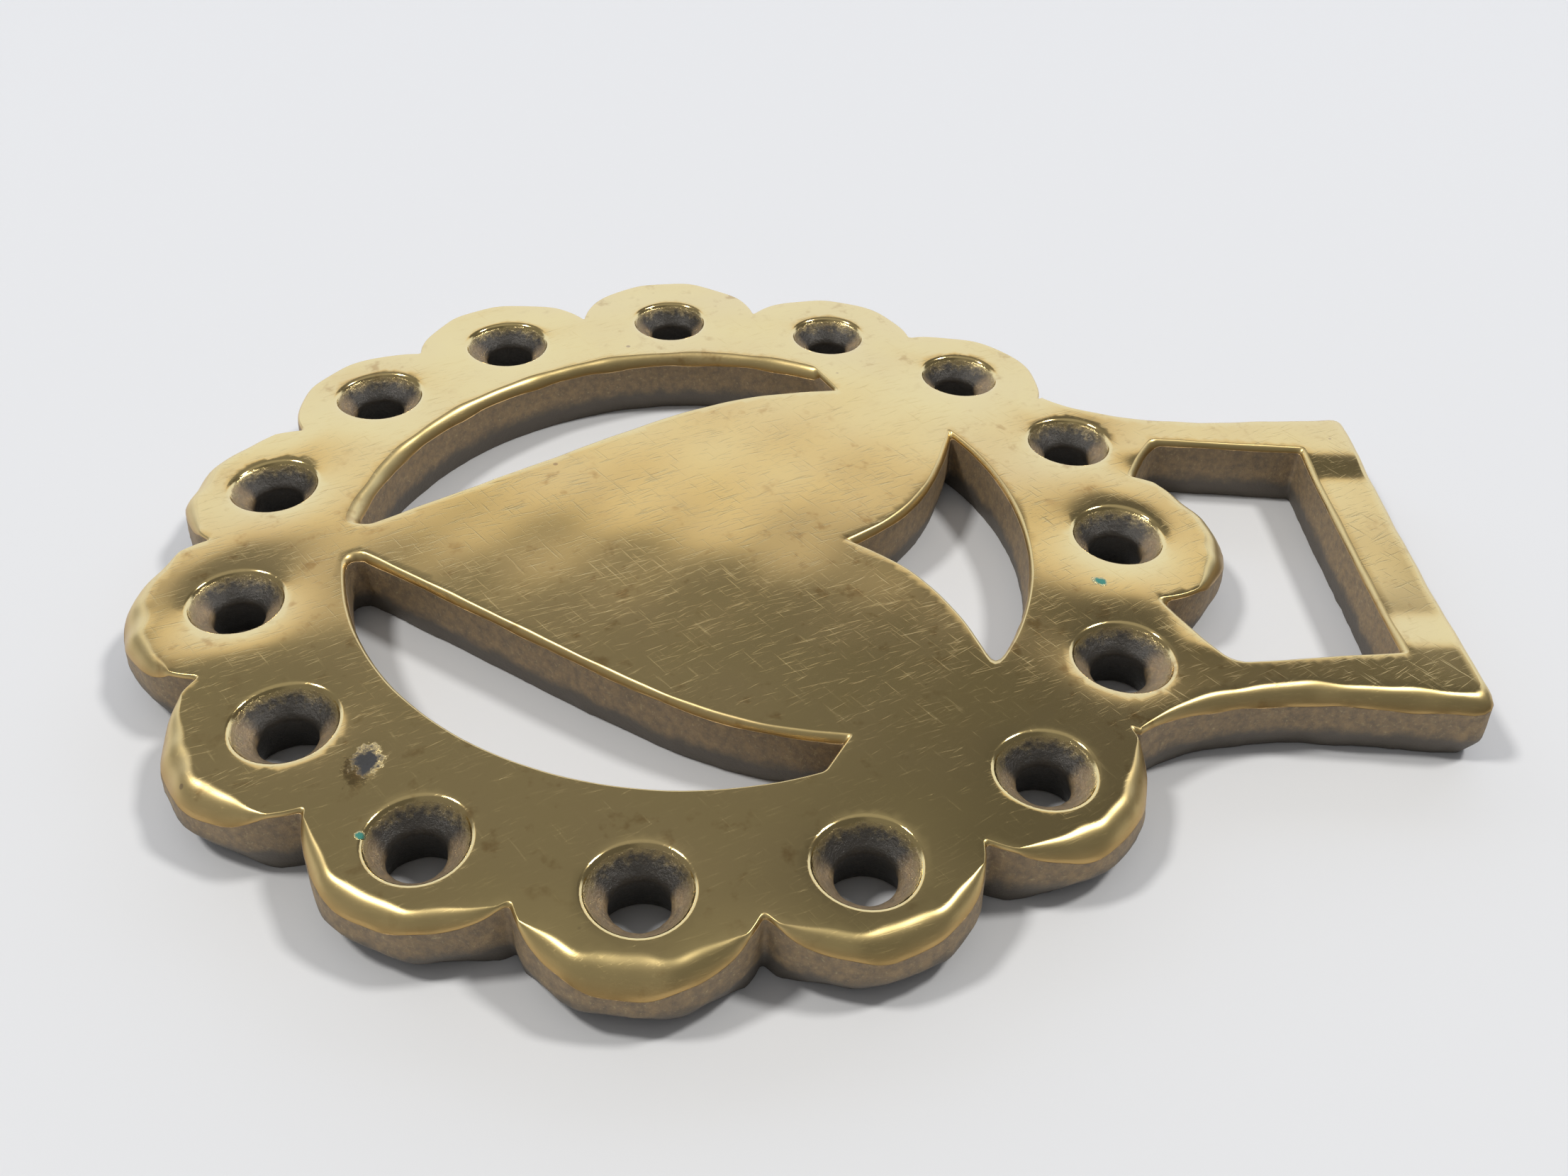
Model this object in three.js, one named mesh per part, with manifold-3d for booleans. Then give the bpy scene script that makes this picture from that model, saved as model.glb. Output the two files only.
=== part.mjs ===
// Horse brass: one brass casting with a pierced heart inside a ring of fifteen countersunk lobes,
// and a rectangular strap loop above it. Millimetres, +Z up. The brass lies on its back: the
// origin is at the centre of the ring on the back face, and +Y points to the strap loop.

import * as THREE from 'three';
import { mergeVertices } from 'three/addons/utils/BufferGeometryUtils.js';
import Module from 'manifold-3d';

// Plate
const THICKNESS = 5.0;
const PARTING_HEIGHT = 1.9;     // the outer wall is widest here, where the two mould halves met
const UNDERCUT = 1.2;           // how far the wall draws in from there down to the back
const OPENING_CHAMFER = 0.5;
const COLOUR = 0xb59a5c;

// Ring and its lobes
const LOBE_COUNT = 15;
const TOP_LOBE = 8;             // the lobe on the centre line, inside the strap loop
const LOBE_BEVEL = 1.1;
const RING_INNER_RADIUS = 23.85;
const RING_INNER_X = -0.35;     // the inner edge isn't quite concentric with the holes
const RING_OUTER_RADIUS = 30;   // hidden under the lobes
const HOLE_CIRCLE_RADIUS = 31;
const THROAT_RATIO = 0.57;      // narrowest radius of a hole to its rim's
const THROAT_DEPTH = 1.8;
const BACK_RIM_RATIO = 0.82;

// The holes were drilled and the edges filed by hand, so no two lobes are quite alike:
// [degrees off the even spacing, hole's distance off the hole circle, rim diameter,
//  lobe's radius, lobe's reach]
const LOBES = [
  [0.4, 0.3, 6.2, 7.5, 37.7],
  [-0.2, 0, 6.5, 7.5, 37.0],
  [0.9, -0.2, 6.6, 7.5, 37.7],
  [-1.6, -0.5, 6.0, 7.5, 37.8],
  [-3.7, -0.6, 5.8, 7.5, 36.9],
  [-2.6, 0.1, 6.0, 7.5, 37.3],
  [-0.7, 0.9, 6.2, 7.5, 37.0],
  [1.9, -0.1, 6.5, 7.5, 38.8],
  [1.0, 0, 6.6, 7.5, 37.0],
  [2.5, 0, 6.2, 7.5, 37.2],
  [1.6, -0.1, 6.4, 7.5, 37.0],
  [1.5, 0, 6.3, 7.5, 37.4],
  [1.0, 0.2, 6.2, 8.1, 37.0],
  [0.3, -0.5, 6.6, 7.5, 38.2],
  [0.4, 0, 6.3, 7.5, 38.6],
];

// Heart
const CLEFT_Y = 11.8;
const SHOULDER_X = 12.5;        // where the heart's top edge runs into the ring
const SHOULDER_Y = 20;
const CRESCENT_TIP_X = 19.7;    // where its side edge leaves the ring again
const CRESCENT_TIP_Y = 9.6;
const FOOT_X = 2;               // half the width of the neck that joins its point to the ring
const FOOT_Y = -22.9;

// Strap loop
const LOOP_TOP_Y = 52.2;
const LOOP_RIGHT_HALF = 17.0;   // its two top corners aren't quite alike
const LOOP_LEFT_HALF = 16.3;
const LOOP_WAIST = 15.8;
const LOOP_WAIST_Y = 40.3;
const LOOP_FLARE_Y = 32;        // the arms spread from here down to the ring
const LOOP_ROOT = 19.1;
const LOOP_ROOT_Y = 28.2;
const LOOP_FOOT_Y = 26;         // hidden in the ring band
const LOOP_CORNER = 1.2;
const LOOP_CHAMFER = 0.7;
const WINDOW_TOP_Y = 47.3;
const WINDOW_TOP_HALF = 11.2;
const WINDOW_BOTTOM_HALF = 12.4;
const WINDOW_BOTTOM_Y = 36.4;
const WINDOW_CORNER = 1.2;
const SILL_X = 9.3;             // the window's lower corners are filled in down to here
const SILL_Y = 34.3;
const SILL_FOOT_X = 6.8;
const SILL_FOOT_Y = 33.3;

const wasm = await Module();
wasm.setup();

function toManifold(geometry) {
  geometry.deleteAttribute('normal');
  geometry.deleteAttribute('uv');
  const merged = mergeVertices(geometry);
  const corners = merged.index.array;
  const triangles = [];
  for (let i = 0; i < corners.length; i += 3) {
    const [a, b, c] = corners.slice(i, i + 3);
    if (a !== b && b !== c && c !== a) {
      triangles.push(a, b, c);
    }
  }
  return new wasm.Manifold(new wasm.Mesh({
    numProp: 3,
    vertProperties: new Float32Array(merged.attributes.position.array),
    triVerts: new Uint32Array(triangles),
  }));
}

function toGeometry(manifold) {
  const mesh = manifold.getMesh();
  const geometry = new THREE.BufferGeometry();
  geometry.setAttribute('position', new THREE.BufferAttribute(mesh.vertProperties, 3));
  geometry.setIndex(new THREE.BufferAttribute(mesh.triVerts, 1));
  geometry.computeVertexNormals();
  return geometry;
}

// Turns a profile of [radius, height] points about the Z axis.
function turned(profile, segments) {
  const points = profile.map(([radius, height]) => new THREE.Vector2(radius, height));
  const geometry = new THREE.LatheGeometry(points, segments);
  geometry.rotateX(Math.PI / 2);
  return geometry;
}

// A plate of the full thickness, chamfered inside its outline on the front and the back.
function plate(shape, chamfer) {
  const geometry = new THREE.ExtrudeGeometry(shape, {
    depth: THICKNESS - 2 * chamfer,
    bevelThickness: chamfer,
    bevelSize: chamfer,
    bevelOffset: -chamfer,
    bevelSegments: 1,
    curveSegments: 14,
  });
  geometry.translate(0, 0, chamfer);
  return toManifold(geometry);
}

function ringBand() {
  const inner = RING_INNER_RADIUS;
  const eased = inner + OPENING_CHAMFER;
  const geometry = turned([
    [eased, 0],
    [RING_OUTER_RADIUS, 0],
    [RING_OUTER_RADIUS, THICKNESS],
    [eased, THICKNESS],
    [inner, THICKNESS - OPENING_CHAMFER],
    [inner, OPENING_CHAMFER],
    [eased, 0],
  ], 90);
  geometry.translate(RING_INNER_X, 0, 0);
  return toManifold(geometry);
}

// The angle of a lobe about the ring's centre. The lobes are numbered clockwise from the one
// left of the heart's point, and the spacing puts the top one on the centre line.
function lobeAngle(number, drift) {
  const step = 360 / LOBE_COUNT;
  return THREE.MathUtils.degToRad(90 - step * (number - TOP_LOBE) + drift);
}

function lobe([drift, , , radius, reach], index) {
  const angle = lobeAngle(index + 1, drift);
  const distance = reach - radius;
  const geometry = turned([
    [0, 0],
    [radius - UNDERCUT, 0],
    [radius, PARTING_HEIGHT],
    [radius - 0.2, THICKNESS - LOBE_BEVEL],
    [radius - LOBE_BEVEL, THICKNESS],
    [0, THICKNESS],
  ], 40);
  geometry.translate(distance * Math.cos(angle), distance * Math.sin(angle), 0);
  return toManifold(geometry);
}

// Clears the inner halves of the lobes, which would reach into the openings.
function lobeTrimmer() {
  return toManifold(turned([
    [0, -1],
    [RING_INNER_RADIUS + 2, -1],
    [RING_INNER_RADIUS + 2, THICKNESS + 1],
    [0, THICKNESS + 1],
  ], 90));
}

// The cutter of one hole: countersunk from the front, with a narrow throat, and opening out
// again towards the back. It runs past both faces at the slope it has there.
function holeCutter([drift, offset, diameter], index) {
  const angle = lobeAngle(index + 1, drift);
  const distance = HOLE_CIRCLE_RADIUS + offset;
  const rim = diameter / 2;
  const throat = rim * THROAT_RATIO;
  const throatHeight = THICKNESS - THROAT_DEPTH;
  const flare = (rim - throat) / THROAT_DEPTH;
  const backRim = rim * BACK_RIM_RATIO;
  const backFlare = (backRim - throat) / throatHeight;
  const geometry = turned([
    [0, -1],
    [backRim + backFlare, -1],
    [throat, throatHeight],
    [rim + flare, THICKNESS + 1],
    [0, THICKNESS + 1],
  ], 26);
  geometry.translate(distance * Math.cos(angle), distance * Math.sin(angle), 0);
  return toManifold(geometry);
}

// A closed anticlockwise outline from its right half, which runs clockwise from the centre line
// round to it again, and the half to mirror on the left.
function mirrored(half, otherHalf = half) {
  const right = half.getPoints(14);
  const left = otherHalf.getPoints(14).filter(({ x }) => x > 0).map(({ x, y }) => new THREE.Vector2(-x, y));
  return [...left, ...right.reverse()];
}

// The heart, with its shoulders and its foot running out into the ring band.
function heart() {
  const half = new THREE.Path();
  half.moveTo(0, CLEFT_Y);
  half.bezierCurveTo(2.4, 15.2, 4.6, 17.8, SHOULDER_X, SHOULDER_Y);
  half.lineTo(16.5, 22);
  half.lineTo(22.5, 15);
  half.lineTo(24.9, 7);
  half.lineTo(CRESCENT_TIP_X, CRESCENT_TIP_Y);
  half.bezierCurveTo(18.7, -0.3, 14.6, -3.6, FOOT_X, FOOT_Y);
  half.lineTo(FOOT_X, -RING_INNER_RADIUS - 1.5);
  half.lineTo(0, -RING_INNER_RADIUS - 1.5);
  return plate(new THREE.Shape(mirrored(half)), OPENING_CHAMFER);
}

// One side of the loop's outline, with its top corner this far off the centre line.
function loopSide(half) {
  const side = new THREE.Path();
  side.moveTo(0, LOOP_TOP_Y);
  side.lineTo(half - LOOP_CORNER, LOOP_TOP_Y);
  side.quadraticCurveTo(half, LOOP_TOP_Y, half, LOOP_TOP_Y - LOOP_CORNER);
  side.lineTo(LOOP_WAIST, LOOP_WAIST_Y);
  side.quadraticCurveTo(LOOP_WAIST, LOOP_FLARE_Y, LOOP_ROOT, LOOP_ROOT_Y);
  side.lineTo(LOOP_ROOT - 1.5, LOOP_FOOT_Y);
  side.lineTo(0, LOOP_FOOT_Y);
  return side;
}

function strapLoop() {
  const inner = new THREE.Path();
  inner.moveTo(0, WINDOW_TOP_Y);
  inner.lineTo(WINDOW_TOP_HALF - WINDOW_CORNER, WINDOW_TOP_Y);
  inner.quadraticCurveTo(
    WINDOW_TOP_HALF, WINDOW_TOP_Y, WINDOW_TOP_HALF, WINDOW_TOP_Y - WINDOW_CORNER);
  inner.lineTo(WINDOW_BOTTOM_HALF, WINDOW_BOTTOM_Y);
  inner.quadraticCurveTo(WINDOW_BOTTOM_HALF - WINDOW_CORNER, SILL_Y, SILL_X, SILL_Y);
  inner.lineTo(SILL_FOOT_X, SILL_FOOT_Y);
  inner.lineTo(SILL_FOOT_X, HOLE_CIRCLE_RADIUS);
  inner.lineTo(0, HOLE_CIRCLE_RADIUS);

  const outline = mirrored(loopSide(LOOP_RIGHT_HALF), loopSide(LOOP_LEFT_HALF));
  const shape = new THREE.Shape(outline);
  shape.holes.push(new THREE.Path(mirrored(inner)));
  return plate(shape, LOOP_CHAMFER);
}

const lobes = LOBES.map(lobe).reduce((joined, next) => joined.add(next));
const solid = lobes.subtract(lobeTrimmer()).add(ringBand()).add(heart()).add(strapLoop());
const pierced = LOBES.map(holeCutter).reduce((whole, cutter) => whole.subtract(cutter), solid);

const brass = new THREE.Mesh(
  toGeometry(pierced),
  new THREE.MeshStandardMaterial({ color: COLOUR, roughness: 0.35, metalness: 1 }),
);
brass.name = 'horse_brass';

const part = new THREE.Group();
part.add(brass);

export default part;
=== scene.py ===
"""Horse brass: a cast brass harness ornament, lying on its back on a pale table.

The casting is one mesh. Its outlines are worked out as closed chains of lobes, arcs and bars,
each given its own edge profile from the polished face down over the filed bevel, the as-cast
wall and the parting ridge to the back. A Geometry Nodes tree then roughens what was never
filed. Lengths in this file are millimetres in the frame of the CAD part, turned to metres when
a mesh is made.
"""
import math

import bpy
import numpy as np
from mathutils import Matrix, Vector, geometry


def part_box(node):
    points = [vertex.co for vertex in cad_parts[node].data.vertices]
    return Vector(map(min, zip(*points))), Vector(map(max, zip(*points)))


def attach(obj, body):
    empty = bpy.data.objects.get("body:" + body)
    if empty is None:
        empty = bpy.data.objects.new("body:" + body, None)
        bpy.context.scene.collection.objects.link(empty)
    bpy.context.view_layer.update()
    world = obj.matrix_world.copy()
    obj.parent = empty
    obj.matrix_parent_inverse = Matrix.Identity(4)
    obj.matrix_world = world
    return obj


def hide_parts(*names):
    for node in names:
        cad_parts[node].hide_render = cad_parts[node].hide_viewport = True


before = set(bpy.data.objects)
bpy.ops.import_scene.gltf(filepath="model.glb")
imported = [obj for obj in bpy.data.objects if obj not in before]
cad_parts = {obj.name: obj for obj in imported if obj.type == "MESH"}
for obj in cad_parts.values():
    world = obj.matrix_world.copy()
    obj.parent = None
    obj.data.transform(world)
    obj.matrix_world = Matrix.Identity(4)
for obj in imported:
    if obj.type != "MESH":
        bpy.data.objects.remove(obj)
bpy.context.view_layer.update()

bl_info = {
    "name": "Horse brass",
    "version": (1, 0, 0),
    "blender": (4, 5, 0),
    "location": "View3D > Sidebar > Horse brass",
    "description": "Builds a worn cast horse brass and its table",
    "category": "Object",
}

MM = 0.001
CASTING_NODE = "horse_brass"
(BOX_LOW, BOX_HIGH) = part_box(CASTING_NODE)
THICKNESS = (BOX_HIGH[2] - BOX_LOW[2]) / MM

# Ring and lobes
LOBE_COUNT = 15
TOP_LOBE = 8
LOBE_SWEEP = math.radians(100)      # each way from a lobe's outermost point
CUSP_ANGLE = math.radians(58)       # where neighbouring lobes meet, from the same point
RING_INNER_RADIUS = 23.85
RING_INNER_X = -0.35                # the inner edge isn't quite concentric with the holes
HOLE_CIRCLE_RADIUS = 31.0
# Each row: degrees off the even spacing, hole's distance off its circle, rim diameter, lobe's
# radius, lobe's reach, width of the filed bevel at the crown
LOBES = [
    (0.4, 0.3, 6.2, 7.5, 37.7, 1.5),
    (-0.2, 0.0, 6.5, 7.5, 37.0, 0.5),
    (0.9, -0.2, 6.6, 7.5, 37.7, 0.5),
    (-1.6, -0.5, 6.0, 7.5, 37.8, 0.5),
    (-3.7, -0.6, 5.8, 7.5, 36.9, 0.5),
    (-2.6, 0.1, 6.0, 7.5, 37.3, 0.5),
    (-0.7, 0.9, 6.2, 7.5, 37.0, 1.1),
    (1.9, -0.1, 6.5, 7.5, 38.8, 1.7),
    (1.0, 0.0, 6.6, 7.5, 37.0, 1.1),
    (2.5, 0.0, 6.2, 7.5, 37.2, 2.1),
    (1.6, -0.1, 6.4, 7.5, 37.0, 2.4),
    (1.5, 0.0, 6.3, 7.5, 37.4, 2.0),
    (1.0, 0.2, 6.2, 8.1, 37.0, 2.4),
    (0.3, -0.5, 6.6, 7.5, 38.2, 2.0),
    (0.4, 0.0, 6.3, 7.5, 38.6, 1.9),
]

# Flats the file left on a lobe
FLATS = (-0.62, 0.0, 0.6)           # radians from its outermost point
FLAT_DRIFT = 0.12
FLAT_DEPTH = (0.04, 0.16)
FLAT_BLEND = 0.12                   # how softly a flat runs into the round

# Holes
THROAT_RATIO = (0.54, 0.6)          # throat's radius to the rim's
THROAT_SHIFT = 0.22
THROAT_DEPTH = 1.8

# Heart
CLEFT = (0.0, 11.8)
SHOULDER = (12.5, 20.0)
CRESCENT_TIP = (19.7, 9.6)
FOOT = (2.0, -22.9)

# Strap loop
LOOP_TOP_Y = 52.2
LOOP_NEAR_HALF = 17.0               # at its top corners, which aren't quite alike
LOOP_FAR_HALF = 16.3
LOOP_WAIST = (15.8, 40.3)
LOOP_FLARE_Y = 32.0
LOOP_ROOT = (19.1, 28.2)
WINDOW_TOP_Y = 47.3
WINDOW_TOP_HALF = 11.2
WINDOW_BOTTOM = (12.4, 36.4)

# Edges
PARTING_HEIGHT = 1.9
RIDGE_WANDER = 0.18                 # how far the parting ridge rises and falls
LEAST_BEVEL = 0.28                  # left where the file couldn't reach
LEAST_DROP = 0.24
LEAST_UNDERCUT = 0.25
BEVEL_UNEVENNESS = 0.16
DROP_RATIO = 0.85                   # a bevel's depth to its width
SHOULDER_CURVE = 2.2
LIP = 0.12                          # how far the wall's top stands in from the ridge
LIP_DEPTH = 0.12
STEP = 0.34                         # spacing of the mesh along an edge
FACE_STEP = 0.5                     # spacing of the mesh across the face
BACK_STEP = FACE_STEP * 2.2
HOLE_COLUMNS = 48
SEED = 7
SHOULDER_STEPS = (0.0, 0.12, 0.25, 0.38, 0.52, 0.66, 0.79, 0.9, 1.0)
WALL_STEPS = (0.25, 0.5, 0.75, 1.0)
BELLY_STEPS = ((0.12, 0.8), (0.42, 0.5), (0.78, 0.22), (1.0, 0.06), (1.12, 0.0))
HOLE_DIRT = (0.0, 0.05, 0.25, 0.5, 0.62, 0.7, 0.8, 0.9, 1.0, 1.0, 1.0, 1.0, 1.0, 1.0)

# Marks of casting and age, and the walls' painted shade, on the face unless a height is given
DEEP_DISHES = (8, 15)               # lobes worn hollow round their holes
DEEP_DISH_DEPTH = 0.22
DISH_DEPTH = 0.13
DISH_WIDTH = 2.0
FACE_ROLL = 0.22                    # how far the face falls away at the lobes' tips
LEANING_LOBE = 15                   # filed to slope a little, down towards the far side
LOBE_LEAN = 0.02
PIT = (21.3, -19.0)
PIT_DEPTH = 0.16
PIT_STAIN = (21.9, -19.4)
VERDIGRIS = ((4.5, 28.4, 0.45), (27.0, -18.4, 0.3))
RUBBED_WALL = (19.8, 1.5, 2.6)      # just off the heart's wall, so it hardly shows
SHADE_BAND = (2.1, 3.3)              # heights between which the walls go from painted shade, near black, to brown
BAND_WANDER = 1.6
DOT_SPACING = 4.2
SCRATCH_RUNS = ((28, 0.16), (36, 0.11), (19, 0.13), (-52, 0.17))    # degrees, width
SCRATCH_DEPTH = 0.004
SAND_DEPTH = 0.10

# Table, in metres, and its gap below the brass, in millimetres
TABLE_HALF = 3.0
TABLE_GAP = 0.02

# Camera and the bright wall the face mirrors
WALL_TOP_DEG = 38.2
WALL_DROP = 0.035                   # how much lower it is to the right, as a change of sine
EYE = (83.77, 1.84, 71.34)
AIM = (5.41, 6.39, 5.0)
ROLL_DEG = 2.3


# ---------------------------------------------------------------- outlines

def smooth(value):
    value = np.clip(value, 0.0, 1.0)
    return value * value * (3.0 - 2.0 * value)


def lobe_angle(number):
    drift = LOBES[number - 1][0]
    return math.radians(90 - 360 / LOBE_COUNT * (number - TOP_LOBE) + drift)


def lobe_centre(number):
    distance = LOBES[number - 1][4] - LOBES[number - 1][3]
    angle = lobe_angle(number)
    return np.array([math.cos(angle), math.sin(angle)]) * distance


def hole_centre(number):
    distance = HOLE_CIRCLE_RADIUS + LOBES[number - 1][1]
    angle = lobe_angle(number)
    return np.array([math.cos(angle), math.sin(angle)]) * distance


def wander(length, seed, wavelength):
    """Slow unevenness along an edge, about -1 to 1, as a hand with a file leaves it."""
    draw = np.random.default_rng(seed)
    total = np.zeros_like(length)
    for weight, scale in ((0.7, 1.0), (0.3, 0.47)):
        phase = draw.uniform(0, math.tau)
        total += weight * np.sin(length * math.tau / (wavelength * scale) + phase)
    return total


def polyline(points):
    """The same path with points a tenth of a millimetre apart."""
    points = np.asarray(points, float)
    steps = np.hypot(*np.diff(points, axis=0).T)
    along = np.concatenate([[0.0], np.cumsum(steps)])
    count = max(int(along[-1] / 0.1), 2)
    at = np.linspace(0, along[-1], count)
    return np.column_stack([np.interp(at, along, points[:, 0]), np.interp(at, along, points[:, 1])])


def bezier(*controls):
    """A quadratic or cubic curve through its first and last control."""
    controls = np.asarray(controls, float)
    t = np.linspace(0, 1, 120)[:, None]
    degree = len(controls) - 1
    weights = [math.comb(degree, i) * t ** i * (1 - t) ** (degree - i) for i in range(degree + 1)]
    return sum(weight * control for weight, control in zip(weights, controls))


def mirrored(points):
    """The path's mirror image across the centre line, run the other way."""
    return (np.asarray(points, float) * [-1, 1])[::-1]


class Edge:
    """One stretch of outline, with the brass on its left, and how its edge was finished.

    bevel and drop are the width and depth of the worn or filed shoulder, undercut how far the
    back stands in from the parting ridge, and crown runs from 0 where the file couldn't reach
    to 1 where it bore down."""

    def __init__(self, points, bevel, drop, undercut, crown=None, corner=0.4, seed=0):
        self.line = polyline(points)
        self.bevel = bevel
        self.drop = drop
        self.undercut = undercut
        self.crown = np.ones(len(self.line))
        if crown is not None:
            self.crown = np.interp(
                np.linspace(0, 1, len(self.line)), np.linspace(0, 1, len(crown)), crown)
        self.corner = corner
        steps = np.hypot(*np.diff(self.line, axis=0).T)
        self.along = np.concatenate([[0.0], np.cumsum(steps)])
        self.unevenness = wander(self.along, SEED + seed, 7.0)
        tangent = np.gradient(self.line, axis=0)
        tangent /= np.hypot(*tangent.T)[:, None]
        self.inward = np.column_stack([-tangent[:, 1], tangent[:, 0]])

    def levels(self):
        """The stretch at each level of its profile, from the face to the back, as x, y, z."""
        crown = self.crown * (1 + BEVEL_UNEVENNESS * self.unevenness)
        bevel = LEAST_BEVEL + (self.bevel - LEAST_BEVEL) * np.clip(crown, 0, 1.3)
        drop = LEAST_DROP + (self.drop - LEAST_DROP) * np.clip(crown, 0, 1.3)
        undercut = LEAST_UNDERCUT + (self.undercut - LEAST_UNDERCUT) * np.clip(crown, 0, 1)
        wall_top = THICKNESS - drop
        ridge = PARTING_HEIGHT + RIDGE_WANDER * self.unevenness
        rows = []
        for t in SHOULDER_STEPS:
            rows.append((LIP + (bevel - LIP) * (1 - t), THICKNESS - drop * t ** SHOULDER_CURVE))
        rows.append((LIP * 0.8, wall_top - LIP_DEPTH))
        for t in WALL_STEPS:
            z = wall_top - LIP_DEPTH + (ridge - wall_top + LIP_DEPTH) * t
            rows.append((LIP * 0.8 * (1 - t), z))
        for fraction, height in BELLY_STEPS:
            rows.append((undercut * fraction, ridge * height))
        column = np.zeros((len(self.line), 1))
        return [
            np.hstack([self.line + self.inward * (column + np.reshape(inset, (-1, 1))),
                       column + np.reshape(z, (-1, 1))])
            for inset, z in rows
        ]


def crossing(first, second):
    """Where two paths cross: the fractional index along each."""
    p, r = first[:-1, :2], np.diff(first[:, :2], axis=0)
    q, s = second[:-1, :2], np.diff(second[:, :2], axis=0)
    turn = r[:, None, 0] * s[None, :, 1] - r[:, None, 1] * s[None, :, 0]
    turn = np.where(np.abs(turn) < 1e-12, 1e-12, turn)
    gap = q[None] - p[:, None]
    t = (gap[..., 0] * s[None, :, 1] - gap[..., 1] * s[None, :, 0]) / turn
    u = (gap[..., 0] * r[:, None, 1] - gap[..., 1] * r[:, None, 0]) / turn
    hits = np.argwhere((t >= 0) & (t < 1) & (u >= 0) & (u < 1))
    if not len(hits):
        raise RuntimeError(f"two edges don't meet: {first[-1]} {second[0]}")
    i, j = hits[0]
    return i + t[i, j], j + u[i, j]


def sample(line, at):
    index = np.arange(len(line))
    return np.column_stack([np.interp(at, index, line[:, axis]) for axis in range(3)])


def close_chain(edges):
    """One closed loop of points for each level of the edges, which follow each other round."""
    stacks = [edge.levels() for edge in edges]
    counts = None
    loops = []
    for level in reversed(range(len(stacks[0]))):
        lines = [stack[level] for stack in stacks]
        cuts = [crossing(line, lines[(i + 1) % len(lines)]) for i, line in enumerate(lines)]
        pieces = []
        for i, line in enumerate(lines):
            steps = np.hypot(*np.diff(line[:, :2], axis=0).T)
            along = np.concatenate([[0.0], np.cumsum(steps)])
            index = np.arange(len(line))
            start = np.interp(cuts[i - 1][1], index, along) + edges[i - 1].corner
            stop = np.interp(cuts[i][0], index, along) - edges[i].corner
            pieces.append((line, along, start, stop))
        if counts is None:
            counts = [max(int((stop - start) / STEP), 3) for (_, _, start, stop) in pieces]
        sampled = []
        for (line, along, start, stop), count in zip(pieces, counts):
            at = np.interp(np.linspace(start, stop, count), along, np.arange(len(line)))
            sampled.append(sample(line, at))
        loop = []
        for i, points in enumerate(sampled):
            following = sampled[(i + 1) % len(sampled)]
            tip = sample(lines[i], np.array([cuts[i][0]]))[0]
            tip[2] = (points[-1, 2] + following[0, 2]) / 2
            corner = [
                points[-1] * (1 - t) ** 2 + tip * 2 * t * (1 - t) + following[0] * t ** 2
                for t in (0.25, 0.5, 0.75)
            ]
            loop.append(points)
            loop.append(np.array(corner))
        loops.append(np.vstack(loop))
    return loops[::-1]


def lobe_edge(number):
    """A lobe's outline, anticlockwise about its own centre, with a few flats left by the file."""
    _, hole_offset, rim_diameter, lobe_radius, reach, bevel = LOBES[number - 1]
    land = reach - (HOLE_CIRCLE_RADIUS + hole_offset + rim_diameter / 2)
    bevel = min(bevel, (land - 1.0) / 1.15)
    draw = np.random.default_rng(SEED * 100 + number)
    sweep = np.linspace(-LOBE_SWEEP, LOBE_SWEEP, 240)
    radius = np.full_like(sweep, lobe_radius)
    for flat in FLATS:
        direction = flat + draw.uniform(-FLAT_DRIFT, FLAT_DRIFT)
        depth = draw.uniform(*FLAT_DEPTH)
        chord = (lobe_radius - depth) / np.clip(np.cos(sweep - direction), 0.3, 1)
        radius = -np.logaddexp(-radius / FLAT_BLEND, -chord / FLAT_BLEND) * FLAT_BLEND
    angle = sweep + lobe_angle(number)
    line = lobe_centre(number) + np.column_stack([np.cos(angle), np.sin(angle)]) * radius[:, None]
    crown = np.clip(1 - (np.abs(sweep) / CUSP_ANGLE) ** 2.2, 0, 1) ** 0.8
    return Edge(line, bevel, bevel * DROP_RATIO, 1.2, crown, 0.5, number)


def ring_arc(start, stop, bevel, corner):
    """The ring's inner edge, clockwise between two angles in degrees."""
    angle = np.radians(np.linspace(start, stop, 400))
    line = np.column_stack([np.cos(angle), np.sin(angle)]) * RING_INNER_RADIUS + [RING_INNER_X, 0]
    return Edge(line, bevel, bevel * DROP_RATIO, 0.35, corner=corner, seed=40)


def loop_arm(half):
    """The outside of one arm of the strap loop, from under the ring to above its top corner."""
    rise = LOOP_TOP_Y - LOOP_WAIST[1]
    flare = (half - LOOP_WAIST[0]) * 1.3
    return np.vstack([
        [(16.6, 24.0)],
        bezier(LOOP_ROOT, (LOOP_WAIST[0] + 0.2, LOOP_FLARE_Y), LOOP_WAIST),
        [(LOOP_WAIST[0] + flare, LOOP_WAIST[1] + rise * 1.3)],
    ])


def outer_outline():
    taper = smooth(np.linspace(-0.25, 2.6, 60))
    near_arm = Edge(loop_arm(LOOP_NEAR_HALF), 1.3, 1.1, 0.5, taper, corner=1.5, seed=21)
    top = Edge([(20, LOOP_TOP_Y), (0, LOOP_TOP_Y - 0.1), (-20, LOOP_TOP_Y + 0.1)],
               0.8, 0.6, 0.5, corner=0.8, seed=22)
    far_arm = Edge(mirrored(loop_arm(LOOP_FAR_HALF)), 0.8, 0.6, 0.5, taper[::-1],
                   corner=0.5, seed=23)
    near_lobes = [lobe_edge(number) for number in (15, 14, 13, 12, 11, 10)]
    far_lobes = [lobe_edge(number) for number in (6, 5, 4, 3, 2, 1)]
    return close_chain([*near_lobes, near_arm, top, far_arm, *far_lobes])


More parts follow.
